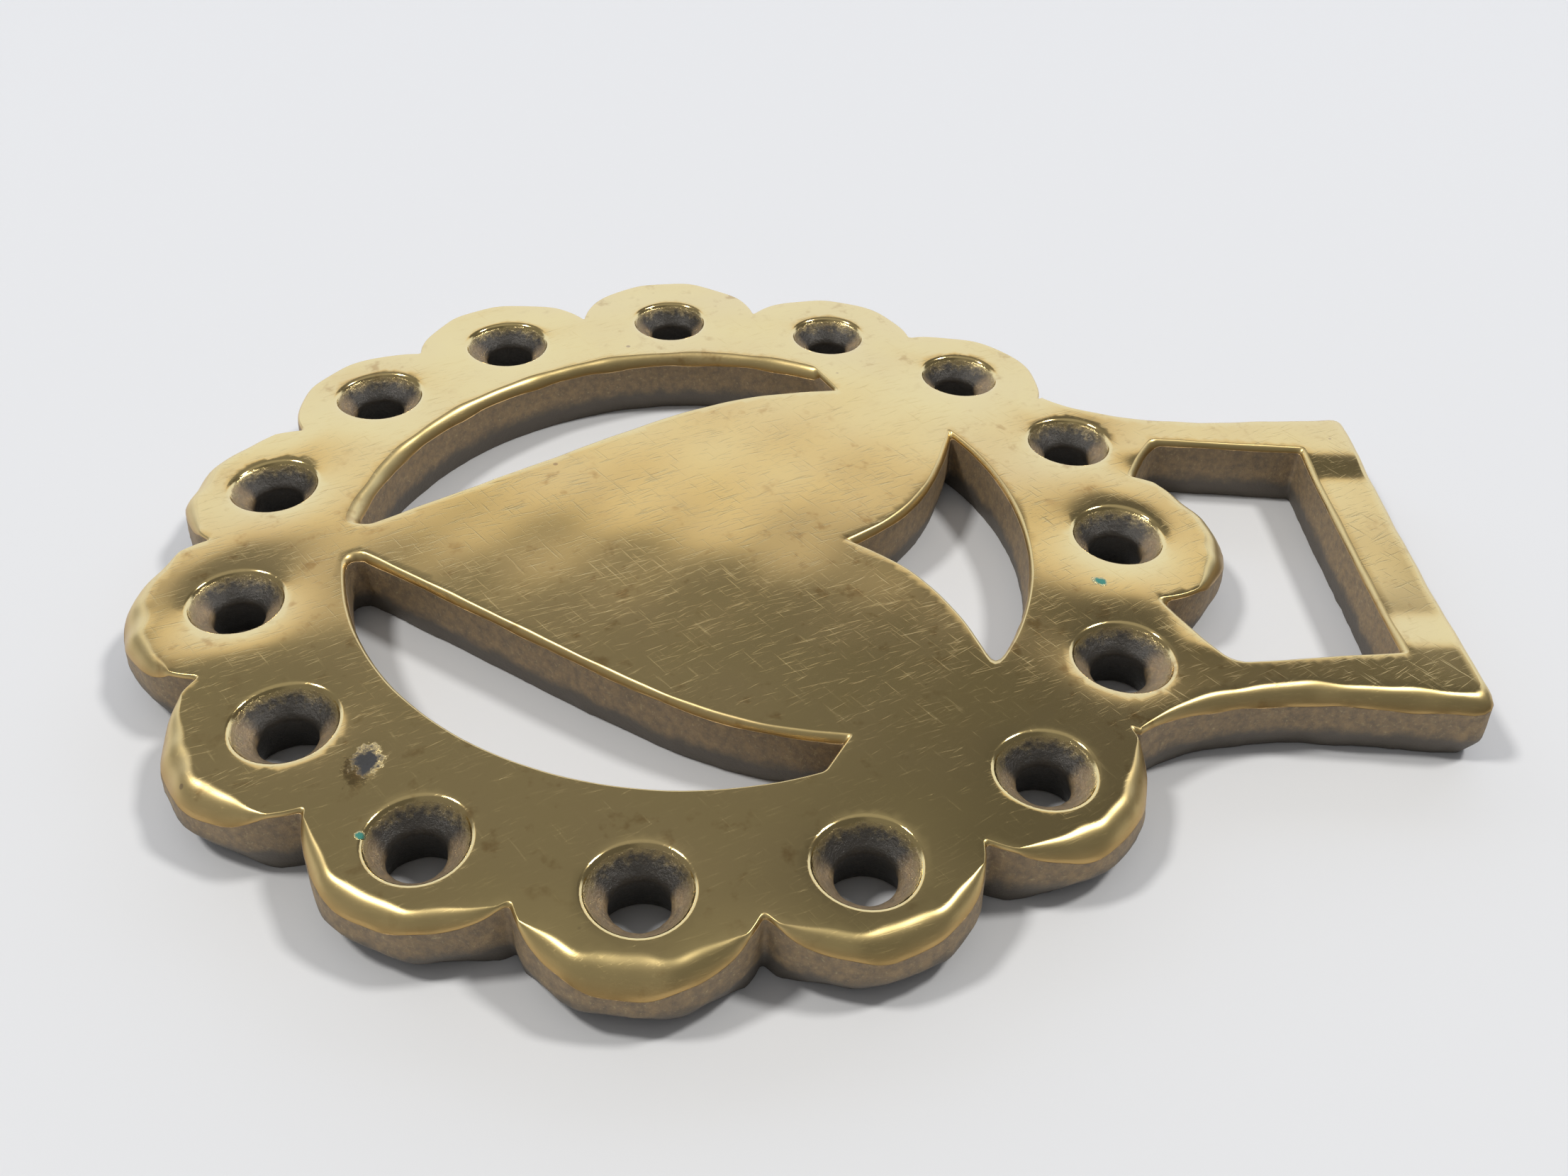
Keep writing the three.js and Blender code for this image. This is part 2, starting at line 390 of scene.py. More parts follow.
def window_outline():
    side = [(WINDOW_BOTTOM[0] + 0.15, 31.5), WINDOW_BOTTOM, (WINDOW_TOP_HALF, WINDOW_TOP_Y + 3)]
    sill = bezier((13.6, 37.9), (12.0, 34.9), (9.6, 34.6), (4.6, 31.9))
    far_side = Edge(mirrored(side)[::-1], 0.5, 0.4, 0.3, corner=0.35, seed=31)
    top = Edge([(-15, WINDOW_TOP_Y), (15, WINDOW_TOP_Y)], 0.5, 0.4, 0.3, corner=0.5, seed=32)
    near_side = Edge(side[::-1], 0.5, 0.4, 0.3, corner=1.0, seed=33)
    near_sill = Edge(sill, 0.7, 0.6, 0.5, corner=0.5, seed=34)
    far_sill = Edge(mirrored(sill), 0.7, 0.6, 0.5, corner=0.35, seed=35)
    return close_chain([far_side, top, near_side, near_sill, lobe_edge(8), far_sill])


def heart_side():
    """The heart's edge from its point up to the crescent's upper tip."""
    curve = bezier(FOOT, (14.6, -3.6), (18.7, -0.3), CRESCENT_TIP)
    return np.vstack([[(2.0, -26.5)], curve, [(19.9, 12.5)]])


def near_crescent():
    blunt = Edge([(17.5, 10.9), CRESCENT_TIP, (27.0, 5.3)], 0.35, 0.3, 0.3, corner=0.35, seed=51)
    arc = ring_arc(25, -92, 0.4, 1.2)
    side = Edge(heart_side(), 0.55, 0.5, 0.35, corner=0.3, seed=52)
    return close_chain([blunt, arc, side])


def far_crescent():
    blunt = Edge([(-27.0, 7.4), (-CRESCENT_TIP[0], 11.2), (-16.0, 12.6)],
                 0.35, 0.3, 0.3, corner=0.35, seed=61)
    side = Edge(mirrored(heart_side()), 0.55, 0.5, 0.35, corner=1.2, seed=62)
    arc = ring_arc(272, 155, 0.95, 0.3)
    return close_chain([side, arc, blunt])


def notch_opening():
    lobe_top = np.vstack([
        [(17.5, 21.3)],
        bezier(SHOULDER, (4.6, 17.8), (2.4, 15.2), CLEFT),
        [(-1.5, 9.4)],
    ])
    arc = ring_arc(140, 40, 0.4, 1.5)
    near = Edge(lobe_top, 0.55, 0.5, 0.35, corner=0.25, seed=71)
    far = Edge(mirrored(lobe_top), 0.55, 0.5, 0.35, corner=0.4, seed=72)
    return close_chain([arc, near, far])


def hole_loops(number):
    """A countersunk hole, clockwise, with its throat a little off centre."""
    draw = np.random.default_rng(SEED * 1000 + number)
    rim = LOBES[number - 1][2] / 2
    throat = rim * draw.uniform(*THROAT_RATIO)
    shift = draw.uniform(-THROAT_SHIFT, THROAT_SHIFT, 2)
    angle = -np.linspace(0, math.tau, HOLE_COLUMNS, endpoint=False)
    unit = np.column_stack([np.cos(angle), np.sin(angle)])
    uneven = 1 + 0.012 * np.sin(2 * angle + draw.uniform(0, 6)) + 0.01 * np.sin(3 * angle)
    profile = (
        (rim + 0.3, THICKNESS),
        (rim + 0.12, THICKNESS - 0.03),
        (rim, THICKNESS - 0.14),
        (rim - 0.12, THICKNESS - 0.34),
        (rim - 0.34, THICKNESS - 0.66),
        (throat + 0.62, THICKNESS - 1.02),
        (throat + 0.26, THICKNESS - 1.34),
        (throat + 0.05, THICKNESS - 1.58),
        (throat, THICKNESS - THROAT_DEPTH),
        (throat + 0.1, THICKNESS - 2.2),
        (throat + 0.32, THICKNESS - 2.9),
        (throat + 0.6, 1.0),
        (throat + 0.8, 0.2),
        (throat + 0.95, 0.0),
    )
    loops = []
    for radius, z in profile:
        lean = smooth((THICKNESS - z) / THROAT_DEPTH) * shift
        points = hole_centre(number) + lean + unit * (radius * uneven)[:, None]
        loops.append(np.column_stack([points, np.full(len(points), z)]))
    return loops


# ---------------------------------------------------------------- casting mesh

def face_height(xy):
    """How the polished face departs from flat: slow waves, and dished round each hole."""
    x, y = xy[:, 0], xy[:, 1]
    waves = 0.030 * np.sin(x * 0.21 + 0.6) * np.cos(y * 0.17 - 0.4)
    waves += 0.018 * np.sin(x * 0.11 - y * 0.33 + 1.9)
    waves += 0.010 * np.sin(x * 0.62 + y * 0.21) * np.sin(y * 0.55 + 0.7)
    dish = np.zeros_like(x)
    for number in range(1, LOBE_COUNT + 1):
        away = np.hypot(*(xy - hole_centre(number)).T) - LOBES[number - 1][2] / 2
        depth = DEEP_DISH_DEPTH if number in DEEP_DISHES else DISH_DEPTH
        dish += depth * np.exp(-np.clip(away, 0, None) / DISH_WIDTH)
    on_arm = smooth((y - 27.0) / 6.0) * smooth((np.abs(x) - 7.5) / 4.0)
    roll = FACE_ROLL * smooth((np.hypot(x, y) - 31.0) / 6.0) * (1 - on_arm)
    away = xy - hole_centre(LEANING_LOBE)
    lean = LOBE_LEAN * away[:, 0] * np.exp(-(away ** 2).sum(axis=1) / 36.0)
    dent = PIT_DEPTH * np.exp(-((x - PIT[0]) / 1.0) ** 2 - ((y - PIT[1]) / 0.7) ** 2)
    return waves + lean - dish - roll - dent


def inside(points, loop):
    """Whether each point is inside a closed loop."""
    a, b = loop, np.roll(loop, -1, axis=0)
    x, y = points[:, 0, None], points[:, 1, None]
    straddles = (a[:, 1] > y) != (b[:, 1] > y)
    rise = np.where(np.abs(b[:, 1] - a[:, 1]) < 1e-12, 1e-12, b[:, 1] - a[:, 1])
    cut = a[:, 0] + (y - a[:, 1]) / rise * (b[:, 0] - a[:, 0])
    return (straddles & (x < cut)).sum(axis=1) % 2 == 1


def fill(loops, spacing):
    """Triangles between closed loops, the first one outermost, with a grid of points inside.

    Gives the inner points and the triangles, numbered with the loops' points first."""
    rim = np.vstack(loops)
    low, high = rim.min(axis=0), rim.max(axis=0)
    rows = np.arange(low[1], high[1], spacing * math.sqrt(0.75))
    staggered = []
    for i, y in enumerate(rows):
        across = np.arange(low[0] + (i % 2) * spacing / 2, high[0], spacing)
        staggered.append(np.column_stack([across, np.full(len(across), y)]))
    grid = np.vstack(staggered)
    keep = inside(grid, loops[0])
    for loop in loops[1:]:
        keep &= ~inside(grid, loop)
    grid = grid[keep]
    nearest = np.full(len(grid), np.inf)
    for loop in loops:
        gaps = np.hypot(grid[:, 0, None] - loop[:, 0], grid[:, 1, None] - loop[:, 1])
        nearest = np.minimum(nearest, gaps.min(axis=1))
    grid = grid[nearest > spacing * 0.55]
    edges, start = [], 0
    for loop in loops:
        count = len(loop)
        edges += [(start + i, start + (i + 1) % count) for i in range(count)]
        start += count
    points = [Vector(point) for point in np.vstack([rim, grid])]
    result = geometry.delaunay_2d_cdt(points, edges, [], 0, 1e-7, True)
    verts, _, faces, origins = result[:4]
    if len(verts) != len(points):
        new = [tuple(round(c, 1) for c in v) for v, o in zip(verts, origins) if not o]
        raise RuntimeError(f"the face fill crossed itself at {new}")
    back = np.array([sources[0] for sources in origins])
    triangles = back[np.array(faces)]
    middles = np.vstack([rim, grid])[triangles].mean(axis=1)
    within = inside(middles, loops[0])
    for loop in loops[1:]:
        within &= ~inside(middles, loop)
    return grid, triangles[within]


def casting_mesh():
    """The whole casting: every outline lofted from face to back, and the two faces filled."""
    contours = [outer_outline(), window_outline(), near_crescent(), far_crescent(), notch_opening()]
    holes_from = len(contours)
    contours += [hole_loops(number) for number in range(1, LOBE_COUNT + 1)]
    edge_at = len(SHOULDER_STEPS)
    verts, faces, cast, hollow, shoulder = [], [], [], [], []
    total = 0
    tops, bottoms, top_index, bottom_index = [], [], [], []
    for which, loops in enumerate(contours):
        depth, count = len(loops), len(loops[0])
        for level, loop in enumerate(loops):
            verts.append(loop)
            if which < holes_from:
                cast += [float(smooth((level - edge_at + 1.5) / 1.5))] * count
                shoulder += [float(np.clip(level / edge_at, 0, 1))] * count
                hollow += [0.0] * count
            else:
                fraction = level / (depth - 1)
                cast += [HOLE_DIRT[level]] * count
                shoulder += [0.0] * count
                hollow += [float(np.clip(fraction * 1.4, 0, 1))] * count
        for level in range(depth - 1):
            for i in range(count):
                j = (i + 1) % count
                a, b = total + level * count + i, total + level * count + j
                faces.append((a, a + count, b + count, b))
        tops.append(loops[0][:, :2])
        bottoms.append(loops[-1][:, :2])
        top_index += range(total, total + count)
        bottom_index += range(total + (depth - 1) * count, total + depth * count)
        total += depth * count

    for rims, index, spacing, z, is_face in (
        (tops, top_index, FACE_STEP, THICKNESS, True),
        (bottoms, bottom_index, BACK_STEP, 0.0, False),
    ):
        grid, triangles = fill(rims, spacing)
        names = np.concatenate([index, np.arange(total, total + len(grid))])
        verts.append(np.column_stack([grid, np.full(len(grid), z)]))
        cast += [0.0 if is_face else 1.0] * len(grid)
        shoulder += [0.0 if is_face else 1.0] * len(grid)
        hollow += [0.0] * len(grid)
        total += len(grid)
        for triangle in triangles:
            corners = [int(names[i]) for i in triangle]
            faces.append(corners if is_face else corners[::-1])

    points = np.vstack(verts)
    lift = face_height(points[:, :2])
    points[:, 2] += lift * np.clip(points[:, 2] / THICKNESS, 0, 1) ** 2
    mesh = bpy.data.meshes.new("horse_brass_casting")
    mesh.from_pydata((points * MM).tolist(), [], faces)
    for name, values in (("cast", cast), ("hollow", hollow), ("shoulder", shoulder)):
        attribute = mesh.attributes.new(name, "FLOAT", "POINT")
        attribute.data.foreach_set("value", np.asarray(values, np.float32))
    mesh.validate()
    mesh.update()
    return mesh


# ---------------------------------------------------------------- node helpers

def linear(hex_colour):
    """A '#rrggbb' sRGB colour as linear RGBA."""
    channels = [int(hex_colour[i:i + 2], 16) / 255 for i in (1, 3, 5)]
    return (*[c / 12.92 if c <= 0.04045 else ((c + 0.055) / 1.055) ** 2.4 for c in channels], 1.0)


def node(tree, kind, settings=None, **inputs):
    """Adds a node. An input is named by its socket, with spaces as underscores, or as in_N by
    number, and is given a value or the socket to link from."""
    made = tree.nodes.new(kind)
    for name, value in (settings or {}).items():
        setattr(made, name, value)
    for name, value in inputs.items():
        key = int(name[3:]) if name.startswith("in_") else name.replace("_", " ")
        socket = made.inputs[key]
        if isinstance(value, bpy.types.NodeSocket):
            tree.links.new(value, socket)
        else:
            socket.default_value = value
    return made


def calc(tree, operation, first, second):
    worked = node(tree, "ShaderNodeMath", {"operation": operation}, in_0=first, in_1=second)
    return worked.outputs[0]


def span(tree, value, start, stop, low, high):
    """Eases from low to high as the value goes from start to stop."""
    return node(tree, "ShaderNodeMapRange", {"interpolation_type": "SMOOTHSTEP"}, in_0=value,
                in_1=start, in_2=stop, in_3=low, in_4=high).outputs[0]


def tint(tree, amount, first, second):
    return node(tree, "ShaderNodeMix", {"data_type": "RGBA"},
                in_0=amount, in_6=first, in_7=second).outputs[2]


def noise(tree, place, width, detail=2.0, roughness=0.5):
    """Noise whose features are about this many millimetres wide."""
    return node(tree, "ShaderNodeTexNoise", Vector=place, Scale=1 / (width * MM),
                Detail=detail, Roughness=roughness).outputs[0]


# ---------------------------------------------------------------- sand-cast skin

def skin_tree(material):
    """Geometry Nodes: pushes the unfiled surfaces in and out by the grain of the sand mould."""
    tree = bpy.data.node_groups.new("sand_cast_skin", "GeometryNodeTree")
    tree.interface.new_socket("Geometry", in_out="INPUT", socket_type="NodeSocketGeometry")
    for name, default in (("Relief", 0.00009), ("Grain", 0.0011), ("Lumps", 0.00012)):
        socket = tree.interface.new_socket(name, in_out="INPUT", socket_type="NodeSocketFloat")
        socket.default_value = default
        socket.subtype = "DISTANCE"
    tree.interface.new_socket("Geometry", in_out="OUTPUT", socket_type="NodeSocketGeometry")
    given = node(tree, "NodeGroupInput").outputs
    cast = node(tree, "GeometryNodeInputNamedAttribute", {"data_type": "FLOAT"}, Name="cast")
    place = node(tree, "GeometryNodeInputPosition").outputs[0]
    fineness = calc(tree, "DIVIDE", 1.0, given["Grain"])
    grain = node(tree, "ShaderNodeTexNoise", Vector=place, Scale=fineness,
                 Detail=3.0, Roughness=0.65)
    lumps = node(tree, "ShaderNodeTexNoise", Vector=place,
                 Scale=calc(tree, "MULTIPLY", fineness, 0.28), Detail=1.0)
    grain_swing = calc(tree, "SUBTRACT", grain.outputs[0], 0.5)
    grain_push = calc(tree, "MULTIPLY", grain_swing, given["Relief"])
    lump_swing = calc(tree, "SUBTRACT", lumps.outputs[0], 0.5)
    lump_push = calc(tree, "MULTIPLY", lump_swing, given["Lumps"])
    push = calc(tree, "MULTIPLY", calc(tree, "ADD", grain_push, lump_push), 2.0)
    masked = calc(tree, "MULTIPLY", push, cast.outputs["Attribute"])
    normal = node(tree, "GeometryNodeInputNormal").outputs[0]
    offset = node(tree, "ShaderNodeVectorMath", {"operation": "SCALE"}, Vector=normal, Scale=masked)
    moved = node(tree, "GeometryNodeSetPosition", Geometry=given["Geometry"],
                 Offset=offset.outputs[0])
    real = node(tree, "GeometryNodeRealizeInstances", Geometry=moved.outputs[0])
    finish = node(tree, "GeometryNodeSetMaterial", Geometry=real.outputs[0], Material=material)
    node(tree, "NodeGroupOutput", in_0=finish.outputs[0])
    return tree


def bake_modifier(blank, tree, sizes, name):
    """Runs a Geometry Nodes tree on an object and gives its result as a plain object."""
    modifier = blank.modifiers.new("skin", "NODES")
    modifier.node_group = tree
    for socket in tree.interface.items_tree:
        if socket.in_out == "INPUT" and socket.name in sizes:
            modifier[socket.identifier] = sizes[socket.name]
    seen = blank.evaluated_get(bpy.context.evaluated_depsgraph_get())
    mesh = bpy.data.meshes.new_from_object(seen)
    mesh.name = name
    bpy.data.objects.remove(blank)
    piece = bpy.data.objects.new(name, mesh)
    bpy.context.scene.collection.objects.link(piece)
    return piece


# ---------------------------------------------------------------- materials

def scratches(tree, place, degrees, width):
    """Sparse fine lines running at an angle across the face."""
    run = node(tree, "ShaderNodeMapping", {"vector_type": "TEXTURE"}, Vector=place,
               Rotation=(0.0, 0.0, math.radians(degrees)), Scale=(1.0, 18.0, 1.0))
    return span(tree, noise(tree, run.outputs[0], width), 0.62, 0.78, 0.0, 1.0)


def spot(tree, place, centre, size, ragged):
    """1 inside a ragged patch, in millimetres, and 0 outside it."""
    away = node(tree, "ShaderNodeVectorMath", {"operation": "SUBTRACT"},
                in_0=place, in_1=[value * MM for value in centre])
    scaled = node(tree, "ShaderNodeVectorMath", {"operation": "DIVIDE"},
                  in_0=away.outputs[0], in_1=[value * MM for value in size])
    length = node(tree, "ShaderNodeVectorMath", {"operation": "LENGTH"}, in_0=scaled.outputs[0])
    reach = calc(tree, "MULTIPLY", calc(tree, "SUBTRACT", ragged, 0.5), 1.9)
    return span(tree, calc(tree, "ADD", length.outputs["Value"], reach), 0.6, 1.15, 1.0, 0.0)


def worn_brass(look):
    """Cast brass with a hand-polished face: the face mirrors softly through fine scratches, the
    shoulders keep a warm tarnish, partly a painted reflection of the shaded table, and the unfiled
    walls a rough brown oxide, with painted shade going near black towards the table and on the
    holes' far walls."""
    material = bpy.data.materials.new("hand_polished_cast_brass")
    material.use_nodes = True
    tree = material.node_tree
    tree.nodes.clear()
    place = node(tree, "ShaderNodeTexCoord").outputs["Object"]
    cast, hollow, shoulder = [
        node(tree, "ShaderNodeAttribute", {"attribute_name": name}).outputs["Fac"]
        for name in ("cast", "hollow", "shoulder")
    ]
    clouds = noise(tree, place, 9.0, 4.0)
    grime = noise(tree, place, 0.55, 5.0, 0.7)
    specks = noise(tree, place, 0.26, 4.0, 0.75)
    blots = noise(tree, place, 1.7, 3.0, 0.6)

    # The polished face and its warm, filed shoulders, whose tarnish is partly a painted reflection
    face = tint(tree, clouds, tuple(look.polished), tuple(look.hazed))
    stained = calc(tree, "MULTIPLY", span(tree, blots, 0.56, 0.74, 0.0, 0.45),
                   span(tree, clouds, 0.4, 0.6, 0.0, 1.0))
    face = tint(tree, stained, face, tuple(look.tarnish_and_bevel_reflection))
    dots = node(tree, "ShaderNodeTexVoronoi", Vector=place, Scale=1 / (DOT_SPACING * MM))
    chosen = span(tree, dots.outputs["Color"], 0.5, 0.56, 0.0, 0.8)
    dotted = calc(tree, "MULTIPLY", span(tree, dots.outputs["Distance"], 0.03, 0.055, 1.0, 0.0),
                  chosen)
    face = tint(tree, dotted, face, tuple(look.oxide_brown))
    # Partly painted reflection: the lower shoulders get a warm tarnish that also stands in for their
    # reflection of the shaded table.
    face = tint(tree, span(tree, shoulder, 0.5, 1.0, 0.0, 0.7), face, tuple(look.tarnish_and_bevel_reflection))

    # The unfiled walls: brown and speckled above, with painted shade going near black towards the
    # table
    height = node(tree, "ShaderNodeSeparateXYZ", Vector=place).outputs["Z"]
    brown = tint(tree, span(tree, grime, 0.25, 0.75, 0.3, 1.0), tuple(look.oxide_and_low_shade),
                 tuple(look.oxide_brown))
    brown = tint(tree, span(tree, specks, 0.56, 0.7, 0.0, 0.8), brown, tuple(look.dust))
    # Painted shade: below these heights the walls go near black towards the table.
    wavy = calc(tree, "ADD", height, calc(tree, "MULTIPLY", blots, BAND_WANDER * MM))
    raised = span(tree, wavy, SHADE_BAND[0] * MM, SHADE_BAND[1] * MM, 0.0, 1.0)
    wall = tint(tree, raised, tuple(look.oxide_and_low_shade), brown)
    # Painted shade: inside the holes, the far walls that face the camera are darkened towards a
    # blue-black.
    facing = node(tree, "ShaderNodeSeparateXYZ",
                  Vector=node(tree, "ShaderNodeNewGeometry").outputs["Normal"])
    shaded = calc(tree, "MULTIPLY", span(tree, facing.outputs["X"], 0.0, 0.35, 0.0, 0.95),
                  span(tree, hollow, 0.05, 0.3, 0.0, 1.0))
    wall = tint(tree, shaded, wall, tuple(look.hole_shade_and_pit_black))

    # Where wall gives way to face, broken up by the grime
    ragged = calc(tree, "MULTIPLY", calc(tree, "SUBTRACT", grime, 0.5), 0.5)
    mask = span(tree, calc(tree, "ADD", cast, ragged), 0.3, 0.7, 0.0, 1.0)
    rubbed = spot(tree, place, RUBBED_WALL, (1.1, 1.6, 0.8), grime)
    mask = calc(tree, "MULTIPLY", mask, calc(tree, "SUBTRACT", 1.0, rubbed))
    colour = tint(tree, mask, face, wall)
    stain = spot(tree, place, (*PIT_STAIN, THICKNESS), (1.6, 1.0, 1.5), grime)
    black = spot(tree, place, (*PIT, THICKNESS), (1.2, 0.9, 1.5), grime)
    colour = tint(tree, calc(tree, "MULTIPLY", stain, 0.7), colour, tuple(look.stain))
    colour = tint(tree, black, colour, tuple(look.hole_shade_and_pit_black))
    marks = calc(tree, "MAXIMUM", calc(tree, "MULTIPLY", stain, 0.1), black)
    for x, y, radius in VERDIGRIS:
        green = spot(tree, place, (x, y, THICKNESS), (radius, radius, 1.0), grime)
        colour = tint(tree, green, colour, tuple(look.verdigris))
        marks = calc(tree, "MAXIMUM", marks, green)
    dull = calc(tree, "MAXIMUM", mask, marks)

    lines = scratches(tree, place, *SCRATCH_RUNS[0])
    for degrees, width in SCRATCH_RUNS[1:]:
        lines = calc(tree, "ADD", lines, scratches(tree, place, degrees, width))
    scored = node(tree, "ShaderNodeBump", {"invert": True}, Strength=0.4, Distance=SCRATCH_DEPTH * MM,
                  Height=lines)
    sand = calc(tree, "MULTIPLY", noise(tree, place, 0.35, 5.0, 0.7), dull)
    sandy = node(tree, "ShaderNodeBump", Strength=0.8, Distance=SAND_DEPTH * MM, Height=sand,
                 Normal=scored.outputs[0])

    polish = calc(tree, "ADD", span(tree, clouds, 0.35, 0.65, 0.07, 0.1),
                  span(tree, shoulder, -0.05, 0.2, 0.0, 0.27))
    polish = calc(tree, "ADD", polish, calc(tree, "MULTIPLY", lines, 0.1))
    rough = span(tree, hollow, 0.05, 0.5, 0.58, 0.34)
    roughness = node(tree, "ShaderNodeMix", {"data_type": "FLOAT"}, in_0=dull, in_2=polish,
                     in_3=rough)
    shader = node(tree, "ShaderNodeBsdfPrincipled", Base_Color=colour,
                  Roughness=roughness.outputs[0],
                  Metallic=span(tree, dull, 0.0, 1.0, 1.0, 0.3), Normal=sandy.outputs[0])
    node(tree, "ShaderNodeOutputMaterial", Surface=shader.outputs[0])
    return material


def matt_board(colour):
    """Matt white laminate: even, pale and faintly cool, with a soft broad sheen."""
    material = bpy.data.materials.new("matt_white_laminate")
    material.use_nodes = True
    tree = material.node_tree
    tree.nodes.clear()
    shader = node(tree, "ShaderNodeBsdfPrincipled", Base_Color=tuple(colour), Roughness=0.55)
    shader.inputs["Specular IOR Level"].default_value = 0.3
    node(tree, "ShaderNodeOutputMaterial", Surface=shader.outputs[0])
    return material


# ---------------------------------------------------------------- stage

def studio_world():
    """The room the face mirrors: dim, with a bright low wall behind the piece."""
    world = bpy.data.worlds.new("studio")
    bpy.context.scene.world = world
    world.use_nodes = True
    tree = world.node_tree
    tree.nodes.clear()
    direction = node(tree, "ShaderNodeTexCoord").outputs["Generated"]
    x, y, z = node(tree, "ShaderNodeSeparateXYZ", Vector=direction).outputs
    top = math.sin(math.radians(WALL_TOP_DEG))
    dropped = calc(tree, "ADD", z, span(tree, y, 0.3, 0.46, 0.0, WALL_DROP))
    below = span(tree, dropped, top - 0.01, top + 0.01, 1.0, 0.0)
    wall = calc(tree, "MULTIPLY", below, span(tree, x, -0.6, -0.42, 1.0, 0.0))
    wall_colour = tint(tree, span(tree, z, top - 0.11, top, 0.0, 1.0),
                       (0.97, 1.08, 1.34, 1), (0.9, 0.8, 0.68, 1))
    room = tint(tree, span(tree, y, -0.1, 0.3, 0.0, 1.0), (0.225, 0.225, 0.23, 1),
                (0.13, 0.13, 0.135, 1))
    ceiling = tint(tree, span(tree, z, 0.78, 0.99, 0.0, 1.0), room, (0.38, 0.38, 0.38, 1))
    sky = tint(tree, wall, ceiling, wall_colour)
    background = node(tree, "ShaderNodeBackground", Color=sky, Strength=1.0)
    node(tree, "ShaderNodeOutputWorld", Surface=background.outputs[0])


def softbox(name, place, aim, size, power, colour):
    light = bpy.data.lights.new(name, "AREA")
    light.shape = "DISK"
    light.size = size
    light.energy = power
    light.color = colour
    holder = bpy.data.objects.new(name, light)
    holder.location = place
    holder.rotation_euler = (Vector(aim) - Vector(place)).to_track_quat("-Z", "Y").to_euler()
    bpy.context.scene.collection.objects.link(holder)


def camera(eye, aim, roll, lens):
    view = bpy.data.cameras.new("view")
    view.lens = lens
    view.sensor_width = 36.0
    view.clip_start = 0.002
    holder = bpy.data.objects.new("view", view)
    turn = (Vector(aim) - Vector(eye)).to_track_quat("-Z", "Y").to_matrix()
    holder.matrix_world = Matrix.Translation(eye) @ (turn @ Matrix.Rotation(roll, 3, "Z")).to_4x4()
    bpy.context.scene.collection.objects.link(holder)
    bpy.context.scene.camera = holder


# ---------------------------------------------------------------- settings

def colour_setting(name, description, hex_colour):
    return bpy.props.FloatVectorProperty(
        name=name, description=description, default=linear(hex_colour), size=4, subtype="COLOR",
        min=0.0, max=1.0)


def length_setting(name, description, millimetres):
    return bpy.props.FloatProperty(
        name=name, description=description, default=millimetres * MM, subtype="DISTANCE",
        unit="LENGTH", min=0.0, precision=5)


class HorseBrassCastingSettings(bpy.types.PropertyGroup):
    relief: length_setting("Sand relief", "Depth of the mould's grain on the unfiled walls", 0.09)
    grain: length_setting("Sand grain", "Width of one bump of that grain", 1.1)
    lumps: length_setting("Lumps", "Depth of the broad unevenness of the walls", 0.12)
    polished: colour_setting("Polished brass", "Colour of the freshly rubbed face", "#ead28e")
    hazed: colour_setting("Hazed brass", "Colour of the face where it has dulled", "#dfc58e")
    # Partly painted reflection: low on the filed shoulders this tarnish also stands in for the
    # bevels' reflection of the shaded table.
    tarnish_and_bevel_reflection: colour_setting("Tarnish", "Warm tarnish low on the filed shoulders", "#a2753c")
    # Painted shade: besides the walls' oxide, this dark colour is painted low on the walls, near
    # black towards the table.
    oxide_and_low_shade: colour_setting("Oxide", "Black oxide of the unfiled walls", "#6b645b")
    oxide_brown: colour_setting("Brown oxide", "Thinner oxide over the same walls", "#ae9571")
    dust: colour_setting("Old polish", "Dried polish and dust in the pits", "#c2b089")
    # Painted shade: this blue-black darkens the holes' far walls where they face the camera; it is
    # also the casting pit's black.
    hole_shade_and_pit_black: colour_setting("Slate", "Blue-black oxide deep in the holes", "#3d3c3a")
    stain: colour_setting("Stain", "Brown stain trailing from the casting pit", "#5a4529")
    verdigris: colour_setting("Verdigris", "Green corrosion, in a few small spots", "#3f8d7c")


class HorseBrassStageSettings(bpy.types.PropertyGroup):
    board: colour_setting("Table", "Colour of the table the brass lies on", "#eeeff0")
    light: bpy.props.FloatProperty(
        name="Light", description="Strength of each softbox, in watts", default=3.75, min=0.0)
    lens: bpy.props.FloatProperty(
        name="Lens", description="Focal length for a 36 mm frame, in millimetres",
        default=34.52, min=1.0)


# ---------------------------------------------------------------- operators

class HORSEBRASS_OT_casting(bpy.types.Operator):
    """Make the casting: its outlines, holes, faces, sand-cast skin and finish"""
    bl_idname = "horsebrass.casting"
    bl_label = "Casting"

    def execute(self, context):
        look = context.scene.horse_brass_casting
        mesh = casting_mesh()
        blank = bpy.data.objects.new("casting_blank", mesh)
        context.scene.collection.objects.link(blank)
        material = worn_brass(look)
        sizes = {"Relief": look.relief, "Grain": look.grain, "Lumps": look.lumps}
        piece = bake_modifier(blank, skin_tree(material), sizes, "horse_brass_casting")
        piece.data.polygons.foreach_set("use_smooth", [True] * len(piece.data.polygons))
        piece.data.set_sharp_from_angle(angle=math.radians(50))
        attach(piece, "root")
        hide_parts(CASTING_NODE)
        return {"FINISHED"}


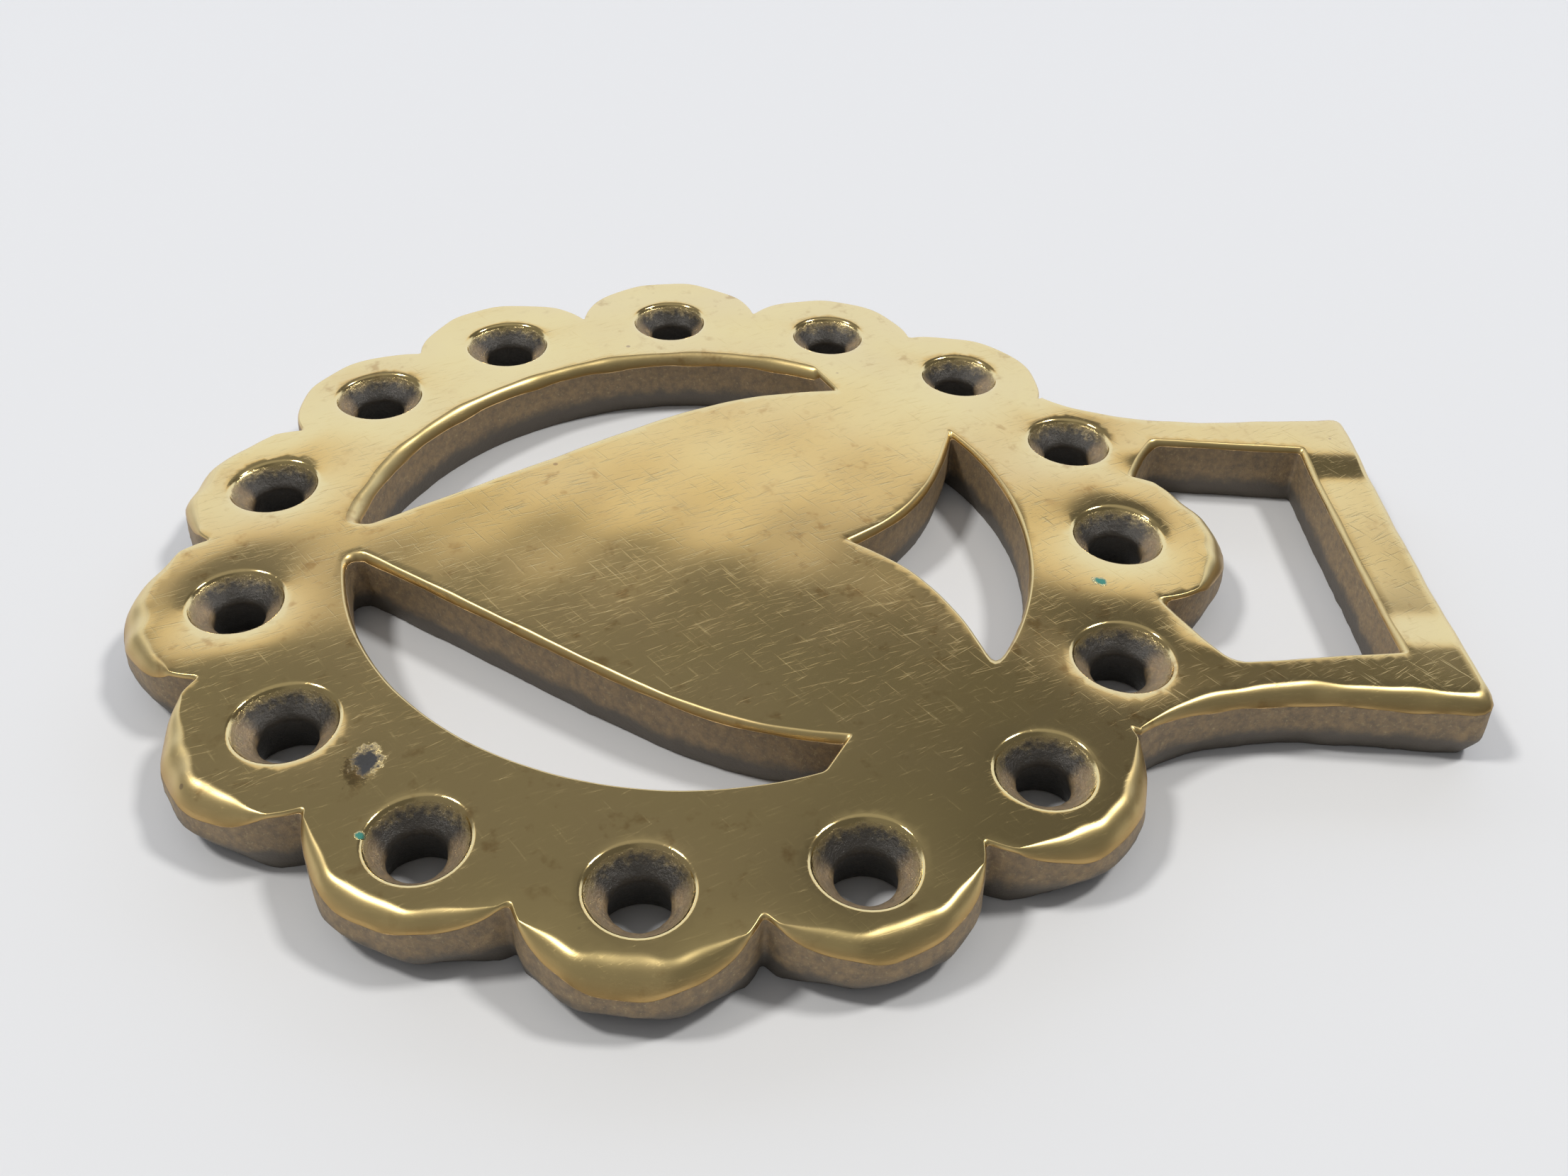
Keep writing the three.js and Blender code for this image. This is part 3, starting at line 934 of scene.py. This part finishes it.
class HORSEBRASS_OT_stage(bpy.types.Operator):
    """Lay out the table, the lights and the camera"""
    bl_idname = "horsebrass.stage"
    bl_label = "Table, lights and camera"

    def execute(self, context):
        look = context.scene.horse_brass_stage
        mesh = bpy.data.meshes.new("table")
        half = TABLE_HALF
        mesh.from_pydata([(-half, -half, 0), (half, -half, 0), (half, half, 0), (-half, half, 0)],
                         [], [(0, 1, 2, 3)])
        table = bpy.data.objects.new("table", mesh)
        table.location.z = -TABLE_GAP * MM
        context.scene.collection.objects.link(table)
        mesh.materials.append(matt_board(look.board))
        studio_world()
        middle = (0.0, 0.0, THICKNESS * MM)
        softbox("left_softbox", (-0.05, -0.53, 0.85), middle, 0.17, look.light, (1.0, 0.98, 0.95))
        softbox("right_softbox", (-0.14, 0.53, 0.85), middle, 0.17, look.light, (1.0, 0.98, 0.95))
        eye = [value * MM for value in EYE]
        aim = [value * MM for value in AIM]
        camera(eye, aim, math.radians(ROLL_DEG), look.lens)
        context.scene.view_settings.view_transform = "Standard"
        return {"FINISHED"}


class HORSEBRASS_PT_panel(bpy.types.Panel):
    """The horse brass's sizes and colours, and the steps that build it"""
    bl_idname = "HORSEBRASS_PT_panel"
    bl_label = "Horse brass"
    bl_space_type = "VIEW_3D"
    bl_region_type = "UI"
    bl_category = "Horse brass"

    def draw(self, context):
        for settings, operator in (
            (context.scene.horse_brass_casting, HORSEBRASS_OT_casting),
            (context.scene.horse_brass_stage, HORSEBRASS_OT_stage),
        ):
            box = self.layout.box()
            for name in settings.__annotations__:
                box.prop(settings, name)
            box.operator(operator.bl_idname)


CLASSES = (
    HorseBrassCastingSettings,
    HorseBrassStageSettings,
    HORSEBRASS_OT_casting,
    HORSEBRASS_OT_stage,
    HORSEBRASS_PT_panel,
)


def register():
    for cls in CLASSES:
        bpy.utils.register_class(cls)
    bpy.types.Scene.horse_brass_casting = bpy.props.PointerProperty(type=HorseBrassCastingSettings)
    bpy.types.Scene.horse_brass_stage = bpy.props.PointerProperty(type=HorseBrassStageSettings)


def unregister():
    del bpy.types.Scene.horse_brass_stage
    del bpy.types.Scene.horse_brass_casting
    for cls in reversed(CLASSES):
        bpy.utils.unregister_class(cls)


def main():
    register()
    bpy.ops.horsebrass.stage()
    bpy.ops.horsebrass.casting()


if __name__ == "__main__":
    main()
